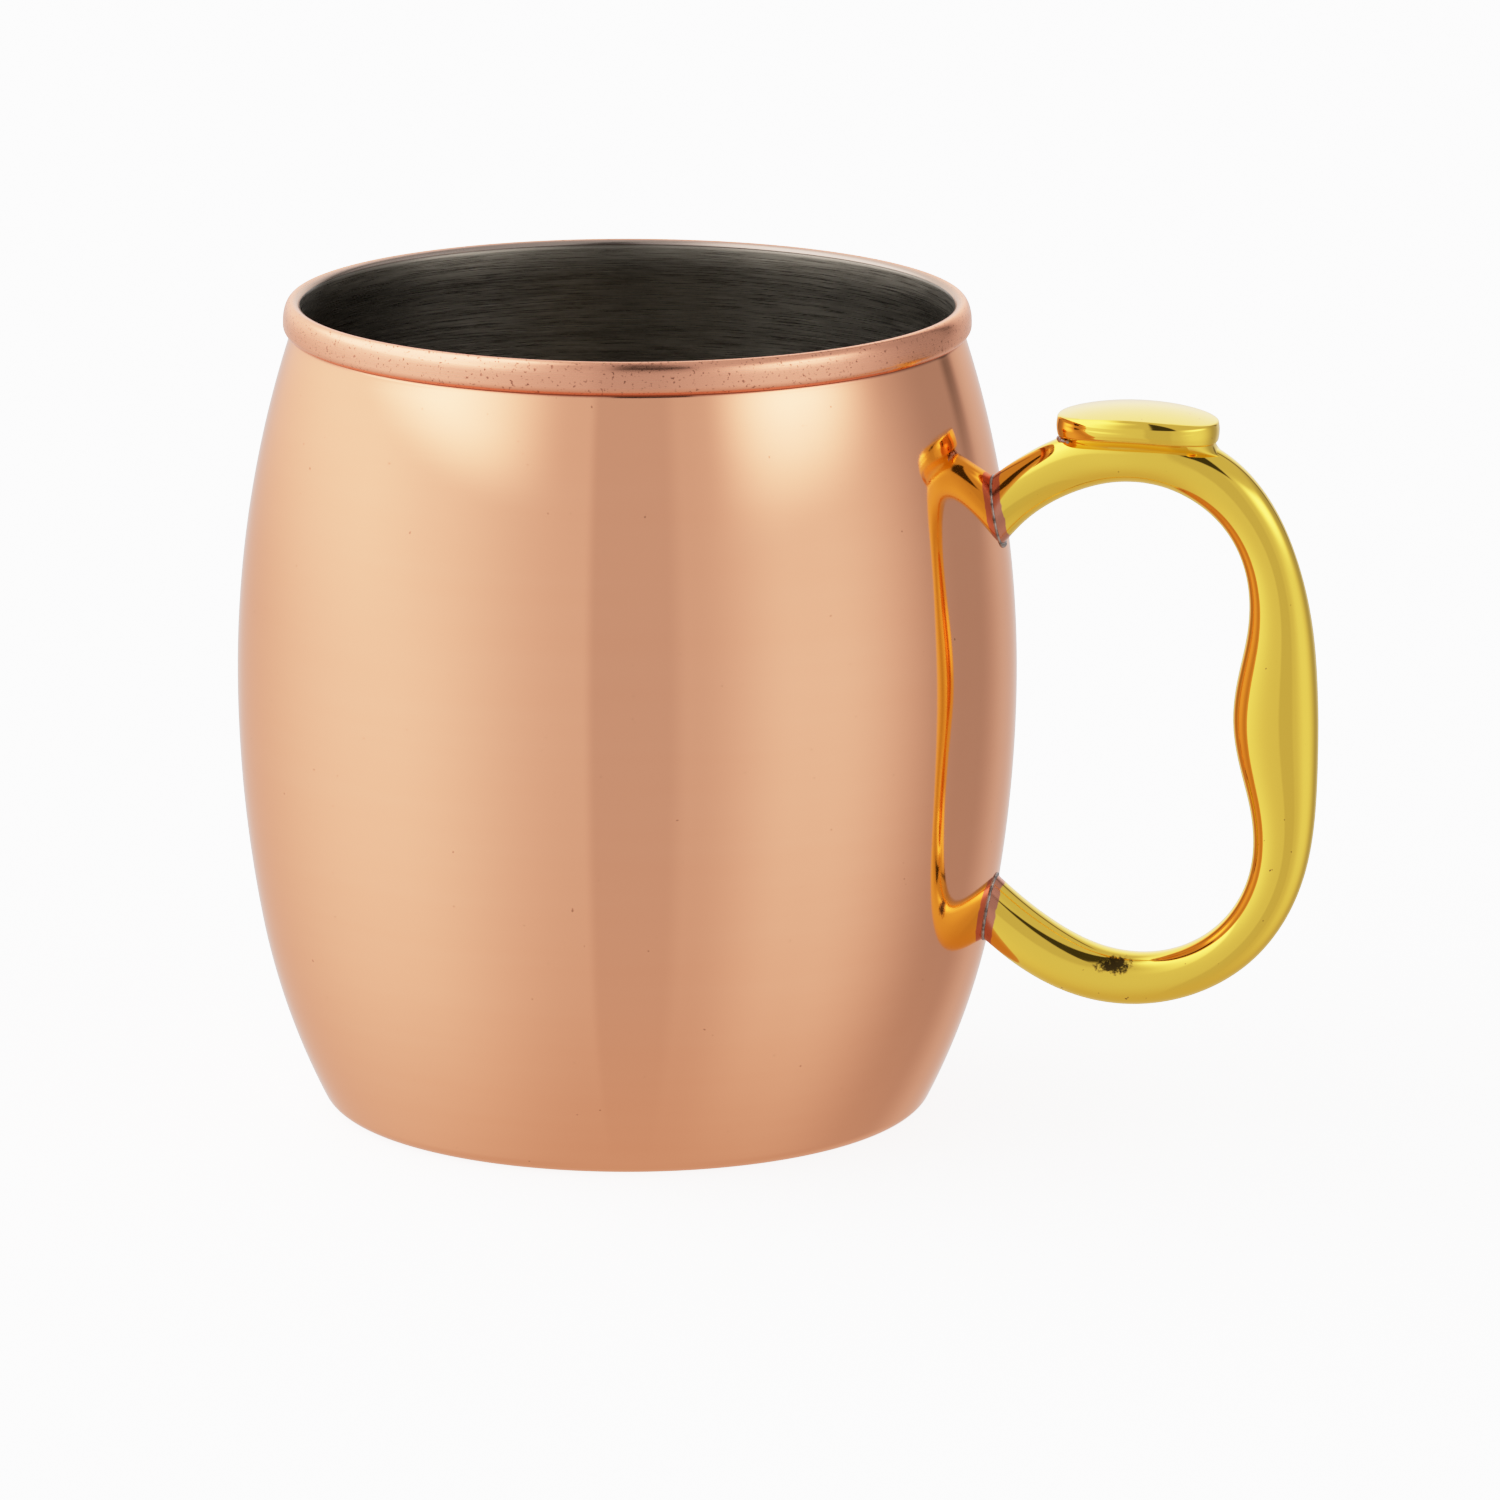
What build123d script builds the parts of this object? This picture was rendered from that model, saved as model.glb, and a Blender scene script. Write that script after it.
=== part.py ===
from build123d import *

import os
from math import acos, asin, cos, degrees, radians, sin

# A barrel mug: a drawn steel cup with a rolled rim, copper plated on the outside, and a
# cast brass handle with a thumb rest, brazed to its side. Millimetres. The origin is on
# the table under the middle of the cup, +Z is up and +X points at the handle.

# Sheet
STEEL_T = 0.6
PLATING_T = 0.2
WALL_T = STEEL_T + PLATING_T

# Barrel: the plated wall's outer line is a chain of tangent arcs, widest at the belly
BELLY_R = 47.6
BELLY_Z = 53.6
SHOULDER_ARC = 136.0  # above the belly
NECK_ARC = 10.0  # turns the shoulder upright under the rim
WAIST_ARC = 161.0  # just below the belly
WAIST_ANGLE = 10.7
HEEL_ARC = 85.0  # from the waist to the foot
FOOT_ARC = 3.1  # the corner that the cup stands on

# Base: a flat ring on the table around a shallow push-up
FOOT_RING_IN = 30.0
PUSH_UP = 1.2
PUSH_UP_ARC = 2.0

# Rim: the sheet's edge is rolled outwards and flattened into a tall bead
MUG_HEIGHT = 100.0
RIM_INNER_R = 39.75
ROLL_R = 0.9  # outside radius of the rolled steel
ROLL_CORE_R = ROLL_R - STEEL_T
ROLL_X = RIM_INNER_R + ROLL_R
ROLL_TOP_Z = MUG_HEIGHT - PLATING_T - ROLL_R
RIM_DEPTH = 4.0
ROLL_LOW_Z = MUG_HEIGHT - RIM_DEPTH + PLATING_T + ROLL_R
CURL_END = -75.0  # where the curled edge stops, short of the wall
PLATING_START = 135.0  # the plating begins on the inside of the crest
CREASE_ANGLE = -85.0  # the plating bridges from the curl to the wall

# Handle: oval sections (x, z, thickness in the handle's plane, width across it), from
# the upper joint over the thumb rest, down the grip and back to the lower joint
HANDLE_STATIONS = [
    (43.6, 73.5, 6.8, 6.4),
    (46.9, 77.1, 6.7, 6.1),
    (50.9, 80.05, 6.7, 6.0),
    (55.9, 82.35, 6.8, 6.2),
    (62.4, 83.05, 6.1, 6.8),
    (68.9, 82.15, 6.95, 6.4),
    (74.95, 77.95, 6.7, 5.8),
    (79.1, 70.3, 6.5, 5.3),
    (80.35, 61.2, 8.3, 6.6),
    (80.1, 51.2, 10.7, 7.1),
    (80.95, 41.0, 8.2, 6.1),
    (80.1, 31.3, 6.5, 5.3),
    (75.4, 23.4, 6.1, 5.6),
    (67.5, 18.95, 6.2, 6.0),
    (58.4, 18.8, 6.8, 6.2),
    (50.2, 22.5, 7.1, 6.4),
    (45.8, 25.9, 6.9, 6.4),
    (42.8, 28.6, 6.8, 6.4),
]
UPPER_END = HANDLE_STATIONS[:3]
LOWER_END = HANDLE_STATIONS[-3:]

# Thumb rest: an oval plate with an arched top and a foot that narrows onto the handle
REST_X = 62.7
REST_LENGTH = 19.9
REST_WIDTH = 13.1
REST_TOP_Z = 89.15
REST_BOTTOM_Z = 85.9
REST_ARCH = 38.0
REST_EDGE = 0.4
REST_FOOT_LENGTH = 18.5
REST_FOOT_WIDTH = 5.4
REST_FOOT_Z = 84.2

# Solder
BRAZE_REACH = 0.4  # how far the solder creeps out around a handle end
BRAZE_T = 0.6  # how far it stands off the wall
REST_BRAZE_REACH = 0.3

# Worked-out sizes of the barrel
NECK_TURN = acos(1 - (BELLY_R - RIM_INNER_R - WALL_T) / (SHOULDER_ARC + NECK_ARC))
WAIST_TURN = radians(WAIST_ANGLE)
HEEL_DROP = BELLY_Z - FOOT_ARC - (WAIST_ARC - HEEL_ARC) * sin(WAIST_TURN)
FOOT_TURN = asin(HEEL_DROP / (HEEL_ARC - FOOT_ARC))
PUSH_UP_TURN = degrees(acos(1 - PUSH_UP / (2 * PUSH_UP_ARC)))


def wall_line(inset, top_z=None):
    """Draw the barrel's outline from the neck to the middle of the base.

    inset is the distance inside the plated face. It returns the two ends.
    """
    belly = (BELLY_R - inset, BELLY_Z)
    shoulder = JernArc(belly, (0, 1), SHOULDER_ARC - inset, degrees(NECK_TURN))
    neck = JernArc(shoulder @ 1, shoulder % 1, NECK_ARC + inset, -degrees(NECK_TURN))
    waist = JernArc(belly, (0, -1), WAIST_ARC - inset, -WAIST_ANGLE)
    heel_angle = degrees(FOOT_TURN) - WAIST_ANGLE
    heel = JernArc(waist @ 1, waist % 1, HEEL_ARC - inset, -heel_angle)
    foot = JernArc(heel @ 1, heel % 1, FOOT_ARC - inset, degrees(FOOT_TURN) - 90)
    ring = Line(foot @ 1, (FOOT_RING_IN, inset))
    rise = JernArc(ring @ 1, (-1, 0), PUSH_UP_ARC - inset, -PUSH_UP_TURN)
    level = JernArc(rise @ 1, rise % 1, PUSH_UP_ARC + inset, PUSH_UP_TURN)
    floor = Line(level @ 1, (0, (level @ 1).Y))
    top = neck @ 1
    if top_z is not None:
        top = Line(top, (top.X, top_z)) @ 1
    return top, floor @ 1


def sheet_outline(outside, inside):
    """Draw the band between two insets of the barrel's outline."""
    outer_top, outer_end = wall_line(outside, ROLL_TOP_Z)
    inner_top, inner_end = wall_line(inside, ROLL_TOP_Z)
    Line(outer_top, inner_top)
    Line(outer_end, inner_end)


def solid_outline(inset):
    """Draw the outline closed along the barrel's axis."""
    top, base = wall_line(inset)
    Polyline(top, (0, top.Y), base)


def roll_outline(inner_r, outer_r, start, end):
    """Draw the rolled rim's band, from start over the crest and round the curl to end."""
    ends = []
    for radius in (inner_r, outer_r):
        crest = CenterArc((ROLL_X, ROLL_TOP_Z), radius, start, -start)
        Line(crest @ 1, (ROLL_X + radius, ROLL_LOW_Z))
        curl = CenterArc((ROLL_X, ROLL_LOW_Z), radius, 0, end)
        ends.append((crest @ 0, curl @ 1))
    Line(ends[0][0], ends[1][0])
    Line(ends[0][1], ends[1][1])


def handle_sections(stations):
    """Give each station's plane, square to the handle's centre line, with its two sizes."""
    sections = []
    for x, z, thickness, width in stations:
        middle = Vector(x, 0, z)
        along = handle_centre.edge().tangent_at(middle)
        square = Plane(middle, x_dir=(0, 1, 0), z_dir=along)
        sections.append((square, thickness, width))
    return sections


with BuildLine(Plane.XZ) as handle_centre:
    Spline([(x, z) for x, z, _, _ in HANDLE_STATIONS])

# Solid bodies that only trim the pieces that touch them
with BuildPart() as barrel_space:
    with BuildSketch(Plane.XZ):
        with BuildLine():
            solid_outline(0)
        make_face()
    revolve(axis=Axis.Z)

with BuildPart() as solder_space:
    with BuildSketch(Plane.XZ):
        with BuildLine():
            solid_outline(-BRAZE_T)
        make_face()
    revolve(axis=Axis.Z)
    add(barrel_space.part, mode=Mode.SUBTRACT)

# Steel cup: wall, base and rolled rim in one drawn sheet
with BuildPart() as steel_cup:
    with BuildSketch(Plane.XZ):
        with BuildLine():
            sheet_outline(PLATING_T, WALL_T)
        make_face()
        with BuildLine():
            roll_outline(ROLL_CORE_R, ROLL_R, 180, CURL_END)
        make_face()
    revolve(axis=Axis.Z)
steel_cup.part.label = "steel_cup"

# Copper plating: over the base, the wall and the outside of the rolled rim
with BuildPart() as copper_plating:
    with BuildSketch(Plane.XZ):
        with BuildLine():
            sheet_outline(0, PLATING_T)
        make_face()
        crease_z = MUG_HEIGHT - RIM_DEPTH + PLATING_T
        with Locations((RIM_INNER_R, crease_z)):
            Rectangle(
                2 * ROLL_R,
                RIM_DEPTH,
                align=(Align.MIN, Align.MIN),
                mode=Mode.SUBTRACT,
            )
        with BuildLine():
            roll_outline(ROLL_R, ROLL_R + PLATING_T, PLATING_START, CREASE_ANGLE)
        make_face()
    revolve(axis=Axis.Z)
copper_plating.part.label = "copper_plating"

# Handle: one brass casting, its ends cut to the barrel's curve
with BuildPart() as handle:
    for square, thickness, width in handle_sections(HANDLE_STATIONS):
        with BuildSketch(square):
            Ellipse(width / 2, thickness / 2)
    loft()
    add(barrel_space.part, mode=Mode.SUBTRACT)
handle.part.label = "handle"

# Thumb rest
with BuildPart() as thumb_rest:
    with BuildSketch(Plane.XY.offset(REST_BOTTOM_Z)):
        with Locations((REST_X, 0)):
            Ellipse(REST_LENGTH / 2, REST_WIDTH / 2)
    extrude(amount=REST_TOP_Z - REST_BOTTOM_Z)
    with BuildSketch(Plane.XZ):
        with Locations((REST_X, REST_TOP_Z - REST_ARCH)):
            Circle(REST_ARCH)
    extrude(amount=REST_WIDTH, both=True, mode=Mode.INTERSECT)
    fillet(thumb_rest.edges().group_by(Axis.Z)[-1], REST_EDGE)
    with BuildSketch(Plane.XY.offset(REST_FOOT_Z)):
        with Locations((REST_X, 0)):
            Ellipse(REST_FOOT_LENGTH / 2, REST_FOOT_WIDTH / 2)
    with BuildSketch(Plane.XY.offset(REST_BOTTOM_Z)):
        with Locations((REST_X, 0)):
            Ellipse(REST_LENGTH / 2 - REST_EDGE, REST_WIDTH / 2 - REST_EDGE)
    loft()
    add(handle.part, mode=Mode.SUBTRACT)
thumb_rest.part.label = "thumb_rest"

# Solder around the thumb rest's foot
with BuildPart() as thumb_rest_braze:
    with BuildSketch(Plane.XY.offset(REST_FOOT_Z)):
        with Locations((REST_X, 0)):
            Ellipse(REST_FOOT_LENGTH / 2 + REST_BRAZE_REACH, REST_FOOT_WIDTH / 2 + 2 * REST_BRAZE_REACH)
    with BuildSketch(Plane.XY.offset(REST_BOTTOM_Z)):
        with Locations((REST_X, 0)):
            Ellipse(REST_LENGTH / 2 - REST_EDGE, REST_WIDTH / 2 - REST_EDGE)
    loft()
    add(handle.part, mode=Mode.SUBTRACT)
    add(thumb_rest.part, mode=Mode.SUBTRACT)
thumb_rest_braze.part.label = "thumb_rest_braze"

# Solder collars where the handle's ends meet the barrel
with BuildPart() as upper_braze:
    for square, thickness, width in handle_sections(UPPER_END):
        with BuildSketch(square):
            Ellipse(width / 2 + BRAZE_REACH, thickness / 2 + BRAZE_REACH)
    loft()
    add(solder_space.part, mode=Mode.INTERSECT)
    add(handle.part, mode=Mode.SUBTRACT)
upper_braze.part.label = "upper_braze"

with BuildPart() as lower_braze:
    for square, thickness, width in handle_sections(LOWER_END):
        with BuildSketch(square):
            Ellipse(width / 2 + BRAZE_REACH, thickness / 2 + BRAZE_REACH)
    loft()
    add(solder_space.part, mode=Mode.INTERSECT)
    add(handle.part, mode=Mode.SUBTRACT)
lower_braze.part.label = "lower_braze"

os.makedirs("parts", exist_ok=True)
export_step(steel_cup.part, "parts/steel_cup.step")
export_step(copper_plating.part, "parts/copper_plating.step")
export_step(handle.part, "parts/handle.step")
export_step(thumb_rest.part, "parts/thumb_rest.step")
export_step(thumb_rest_braze.part, "parts/thumb_rest_braze.step")
export_step(upper_braze.part, "parts/upper_braze.step")
export_step(lower_braze.part, "parts/lower_braze.step")
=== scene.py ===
import math
import random

import bpy
import numpy as np
from mathutils import Matrix, Vector
from mathutils.bvhtree import BVHTree


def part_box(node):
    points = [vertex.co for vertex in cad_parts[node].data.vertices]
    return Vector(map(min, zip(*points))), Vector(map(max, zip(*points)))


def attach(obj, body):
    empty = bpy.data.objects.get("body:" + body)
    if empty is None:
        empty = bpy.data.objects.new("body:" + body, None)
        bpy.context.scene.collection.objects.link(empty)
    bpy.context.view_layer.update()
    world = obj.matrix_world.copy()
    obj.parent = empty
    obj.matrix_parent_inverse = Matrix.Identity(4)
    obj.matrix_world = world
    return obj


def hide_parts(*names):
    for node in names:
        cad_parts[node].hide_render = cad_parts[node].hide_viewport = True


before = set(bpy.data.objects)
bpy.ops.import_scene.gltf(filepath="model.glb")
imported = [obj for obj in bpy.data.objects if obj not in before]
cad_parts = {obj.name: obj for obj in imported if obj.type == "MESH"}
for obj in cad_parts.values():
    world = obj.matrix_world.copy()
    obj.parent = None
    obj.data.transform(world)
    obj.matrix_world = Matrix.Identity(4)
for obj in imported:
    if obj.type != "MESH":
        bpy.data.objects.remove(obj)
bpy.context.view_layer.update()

MM = 0.001
random.seed(11)

# ---------------------------------------------------------------- driving sizes, in mm
BELLY_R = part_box("copper_plating")[1].x / MM
MUG_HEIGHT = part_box("copper_plating")[1].z / MM
BELLY_Z = 53.6
PLATING_T = 0.2
WALL_T = 0.8

SHOULDER_ARC = 136.0
NECK_ARC = 10.0
WAIST_ARC = 161.0
WAIST_TURN = math.radians(10.7)
HEEL_ARC = 85.0
FOOT_ARC = 3.1
FOOT_RING_IN = 30.0
PUSH_UP = 1.2
PUSH_UP_ARC = 2.0

RIM_INNER_R = 39.75
RIM_DEPTH = 4.0
ROLL_R = 0.9
ROLL_FALL = 1.4
ROLL_X = RIM_INNER_R + ROLL_R
ROLL_TOP_Z = MUG_HEIGHT - PLATING_T - ROLL_R
ROLL_LOW_Z = MUG_HEIGHT - RIM_DEPTH + PLATING_T + ROLL_R
PLATING_START = 150.0
CREASE_ANGLE = -82.0

NECK_TURN = math.acos(1 - (BELLY_R - RIM_INNER_R - WALL_T) / (SHOULDER_ARC + NECK_ARC))
HEEL_DROP = BELLY_Z - FOOT_ARC - (WAIST_ARC - HEEL_ARC) * math.sin(WAIST_TURN)
FOOT_TURN = math.asin(HEEL_DROP / (HEEL_ARC - FOOT_ARC))
PUSH_UP_TURN = math.acos(1 - PUSH_UP / (2 * PUSH_UP_ARC))

# Point spacing along the barrel's arcs, in mm
SHELL_SPACING = 1.0
NECK_SPACING = 0.3
FOOT_SPACING = 0.25
PUSH_UP_SPACING = 0.2
CREST_SPACING = 0.08
CORE_SPACING = 0.1
CREST_POINTS = 24
RIM_SIDE_POINTS = 5
FOOT_FLAT_POINTS = 6
BASE_POINTS = 14
BARREL_SEGMENTS = 232
AXIS_R = 1e-6
LATHE_SHARP = math.radians(40)

# Handle: oval sections (x, z, thickness in the handle's plane, width across it)
HANDLE_STATIONS = [
    (43.6, 73.5, 6.8, 6.4),
    (46.9, 77.1, 6.7, 6.1),
    (50.9, 80.05, 6.7, 6.0),
    (55.9, 82.35, 6.8, 6.2),
    (62.4, 83.05, 6.1, 6.8),
    (68.9, 82.15, 6.95, 6.4),
    (74.95, 77.95, 6.7, 5.8),
    (79.1, 70.3, 6.5, 5.3),
    (80.35, 61.2, 8.3, 6.6),
    (79.95, 51.2, 10.4, 7.1),
    (80.95, 41.0, 8.2, 6.1),
    (80.1, 31.3, 6.5, 5.3),
    (75.4, 23.4, 6.1, 5.6),
    (67.5, 18.95, 6.2, 6.0),
    (58.4, 18.8, 6.8, 6.2),
    (50.2, 22.5, 7.1, 6.4),
    (45.8, 25.9, 6.9, 6.4),
    (42.8, 28.6, 6.8, 6.4),
]

HANDLE_SQUARENESS = 2.25
HANDLE_STEP = 0.002
END_SEARCH = 0.12
END_HALVINGS = 30
END_EASING = 8
END_SHARP = math.radians(50)

# Thumb rest: oval plate, crowned both ways and a little higher at its barrel end
REST_X = 62.7
REST_LENGTH = 19.55
REST_WIDTH = 13.1
REST_TOP_Z = 89.15
REST_BAND = 2.55
REST_ARCH = 38.0
REST_CROWN = 40.0
REST_TILT = math.radians(1.2)
REST_LEAN = math.radians(2.0)
REST_SQUARENESS = 2.3
REST_END_EDGE = 0.35
REST_SIDE_EDGE = 1.6
REST_CORNER = math.radians(30)
REST_BULGE = 0.1
REST_TUCK = 0.4
FOOT_LEFT = 9.2
FOOT_RIGHT = 11.0
FOOT_SIDE = 3.1
FOOT_SQUARENESS = 2.4

FOOT_SINK = 0.05
FOOT_BEND = 0.8
FOOT_BEND_OUT = 0.1
FOOT_DROP = 0.25
FOOT_END_DROP = 0.45
SKIN_CLEARANCE = 1.0
REST_MIDDLE = 0.06
REST_TOP_POINTS = 22
REST_CORNER_POINTS = 10
REST_BAND_POINTS = 9
REST_TUCK_POINTS = 7
FOOT_POINTS = 13
REST_SHARP = math.radians(22)

# Solder: seam thickness, the blob it swells to, and how uneven it is
SEAM_UPPER = (0.2, 0.45)
SEAM_LOWER = (0.24, 0.3)
BLOB_SPREAD = 0.3
SOLDER_LUMP = 0.2
SOLDER_SIDES = 10
SOLDER_SIDEWAYS = (0.3, 0.2, 0.93)
CRUST_TURN = (150, 215)
CRUST_COUNT = 24
CRUST_OUT = 1.03
CRUST_THIN = 0.15
CRUST_MORE = 0.4

# A painted dark reflection on the lower arm
DARK_REFLECTION_X = 60.9
DARK_REFLECTION_Z = 20.4
DARK_REFLECTION_LENGTH = 3.0
DARK_REFLECTION_HEIGHT = 1.3

# Camera: where it stands, and how far its axis points off the middle of the mug
CAMERA_AZIMUTH = 11.0
CAMERA_ELEVATION = 13.23
CAMERA_DISTANCE = 1200.0
CAMERA_LENS = 235.5
CAMERA_RIGHT = 15.0
CAMERA_DOWN = 6.0
CAMERA_ROLL = 0.17
CAMERA_SENSOR = 36
CAMERA_REACH = 20

# Studio: a white tent, in degrees of turn from the camera and of elevation. Its wall
# starts at the camera's level and steps as (from, to, gain); a panel lies over it as
# (turn in and out, elevation in and out, brightness), and two of the panels are dark.
TENT_FRONT = 0.70
TENT_WALL = [
    (-8.5, -12.5, 0.20),
    (-12.0, -75.0, 0.62),
    (-80.0, -160.0, -0.55),
    (12.0, 19.0, 0.12),
    (19.0, 52.0, 0.42),
    (62.0, 118.0, -0.76),
    (128.0, 150.0, 0.30),
    (150.0, 180.0, 0.19),
]
TENT_TOP = 0.75
TENT_BOUNCE = (-75.0, -5.0)
TENT_ROOF = (22.0, 45.0)
FLOOR_BOUNCE = (0.76, 0.66, 0.57)
TENT_PANELS = [
    ((-182, -181, -160, -120), (-10, 14, 34, 64), 1.75),
    ((138, 166, 181, 182), (-10, 14, 34, 64), 1.75),
    ((-172, -150, -90, -62), (-10, 10, 66, 80), 1.75),
    ((-150, -118, -72, -18), (11, 19, 66, 80), 3.2),
    ((26, 60, 64, 98), (7, 23, 27, 37), 3.3),
    ((-7, -2, 22, 27), (26, 30, 88, 89), 0.05),
    ((129, 135, 137, 143), (-8, 7, 60, 70), 0.15),
]
FLOOR_GLOW = 1.6
FLOOR_HALF = 3.0
FLOOR_WHITE = (0.8, 0.8, 0.8, 1)
FILM_WHITE = 4.0
FILM_SHOULDER = [
    (0.2, 0.2),
    (0.4, 0.385),
    (0.6, 0.54),
    (0.8, 0.66),
    (1.0, 0.745),
    (1.4, 0.855),
    (2.0, 0.93),
    (3.0, 0.98),
]

# Marks that run round the barrel: along, across, detail, roughness
MARK_SLANT = 0.9
MARK_RANGE = (0.3, 0.7)
COPPER_FINE_MARKS = (2.5, 9.0, 3.0, 0.6)
COPPER_BROAD_MARKS = (1.2, 0.35, 2.0, 0.5)
STEEL_FINE_MARKS = (6.0, 14.0, 4.0, 0.7)
STEEL_BROAD_MARKS = (1.5, 0.9, 3.0, 0.6)
QUARTER_TURN = 0.25
FINE_BUMP = 0.00002
COARSE_BUMP = 0.0001

# Where the finishes change, and where painted shade and a painted dark reflection lie: heights
# and radii in mm, and the near side in metres
BEAD_Z = MUG_HEIGHT - RIM_DEPTH
BEAD_FADE = (BEAD_Z - 0.5, BEAD_Z + 0.3)
# painted shade: the band in the crease under the rim's bead that is darkened in colour
CREASE_SHADE_RISE = (BEAD_Z - 0.35, BEAD_Z - 0.05)
CREASE_SHADE_FALL = (BEAD_Z, BEAD_Z + 0.3)
CREST_INSIDE = (ROLL_X - 0.8, ROLL_X + 0.3)
CREST_RISE = (MUG_HEIGHT - 1.6, MUG_HEIGHT - 0.7)
STEEL_CREST_RISE = (MUG_HEIGHT - 1.2, MUG_HEIGHT - 0.5)
DARK_REFLECTION_NEAR = (-0.6 * MM, -0.2 * MM)

# Copper: colours, roughness from and to, noise as scale, detail, roughness
COPPER_BASE = ((0.92, 0.40, 0.232), (0.94, 0.42, 0.248))
COPPER_GRAZING = (0.97, 0.80, 0.72, 1)
COPPER_ROUGH = (0.04, 0.075)
COPPER_BRUSHING = 0.6
COPPER_BUMP = 0.04
COPPER_SPECK = (0.50, 0.22, 0.12)
SPECK_NOISE = (1500.0, 1.0, 0.4)
SPECK_EDGE = (0.79, 0.84)
BEAD_BASE = (0.85, 0.37, 0.235)
BEAD_PORE = (0.30, 0.12, 0.07)
BEAD_CREASE_PAINTED_SHADE = (0.48, 0.20, 0.12)
# painted shade: colour of the crease under the bead
BEAD_CREST = (0.36, 0.29, 0.25)
BEAD_ROUGH = (0.12, 0.22)
PORE_NOISE = (2600.0, 2.0, 0.6)
PORE_EDGE = (0.60, 0.70)

# Steel, dark between its brush marks and lighter on them
STEEL_BASE = ((0.185, 0.162, 0.13), (0.37, 0.33, 0.275))
STEEL_CREST = (0.24, 0.21, 0.18)
STEEL_ROUGH = (0.24, 0.36)
STEEL_BRUSHING = 0.9
STEEL_BUMP = 0.25
STEEL_STREAK = 0.35
STEEL_EDGE = (0.50, 0.86)

# Brass, with the copper tint left near the joints and a painted dark reflection on the lower
# arm
BRASS_BASE = ((0.91, 0.57, 0.068), (0.93, 0.59, 0.078))
BRASS_PIT = (0.12, 0.06, 0.015)
BRASS_TINT = (0.52, 0.20, 0.13)
BRASS_ROUGH = (0.03, 0.07)
BRASS_BUMP = 0.10
BRASS_CLOUD = (60.0, 3.0, 0.5)
BRASS_GLOSS_NOISE = 250.0
BRASS_BUMP_NOISE = 220.0
PIT_NOISE = (1700.0, 1.0, 0.4)
PIT_EDGE = (0.79, 0.83)
TINT_NOISE = 700.0
TINT_TEAR = 0.7
TINT_EDGE = (1.5, 1.65)
TINT_ROUGH = 0.14
# painted dark reflection on the lower arm: its colour, roughness, noise, ragged edge and
# falloff
DARK_REFLECTION_COLOUR = (0.05, 0.03, 0.008)
DARK_REFLECTION_ROUGH = 0.2
DARK_REFLECTION_NOISE = (1500.0, 4.0, 0.7)
DARK_REFLECTION_TEAR = 2.2
DARK_REFLECTION_EDGE = (1.25, 1.75)

# Solder, with one noise for colour, gloss and bump
SOLDER_BASE = ((0.10, 0.08, 0.075), (0.46, 0.39, 0.36))
SOLDER_ROUGH = (0.25, 0.5)
SOLDER_BUMP = 0.6
SOLDER_NOISE = (900.0, 3.0, 0.6)
SOLDER_EDGE = (0.35, 0.65)


# ---------------------------------------------------------------- mesh helpers
def add_mesh(name, points, faces, slot, *nodes):
    """Make a smooth-shaded piece from points in mm; it stands for the CAD nodes."""
    mesh = bpy.data.meshes.new(name)
    mesh.from_pydata((np.asarray(points) * MM).tolist(), [], faces)
    mesh.validate()
    mesh.shade_smooth()
    piece = bpy.data.objects.new(name, mesh)
    bpy.context.scene.collection.objects.link(piece)
    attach(piece, "root")
    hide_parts(*nodes)
    return piece


def add_values(piece, name, values):
    """Store one number per vertex for the material to read."""
    layer = piece.data.attributes.new(name, "FLOAT", "POINT")
    layer.data.foreach_set("value", np.asarray(values, dtype=np.float32))


def lathe(name, outline, segments, slot, *nodes):
    """Turn a closed outline of (radius, height) points about the barrel's axis."""
    points, rings = [], []
    for radius, height in outline:
        if radius < AXIS_R:
            rings.append([len(points)])
            points.append((0, 0, height))
            continue
        rings.append(range(len(points), len(points) + segments))
        for step in range(segments):
            turn = 2 * math.pi * step / segments
            points.append((radius * math.cos(turn), radius * math.sin(turn), height))
    faces = []
    for ring, following in zip(rings, rings[1:] + rings[:1]):
        for step in range(segments):
            ahead = (step + 1) % segments
            near = [ring[step], ring[ahead]] if len(ring) > 1 else [ring[0]]
            far = [following[ahead], following[step]] if len(following) > 1 else [following[0]]
            if len(near + far) > 2:
                faces.append(near + far)
    piece = add_mesh(name, points, faces, slot, *nodes)
    piece.data.set_sharp_from_angle(angle=LATHE_SHARP)
    return piece


def arc(centre, radius, start, end, spacing):
    """Points along an arc, angles in radians."""
    count = max(3, math.ceil(abs(end - start) * radius / spacing))
    return [
        (centre[0] + radius * math.cos(a), centre[1] + radius * math.sin(a))
        for a in np.linspace(start, end, count + 1)
    ]


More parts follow.
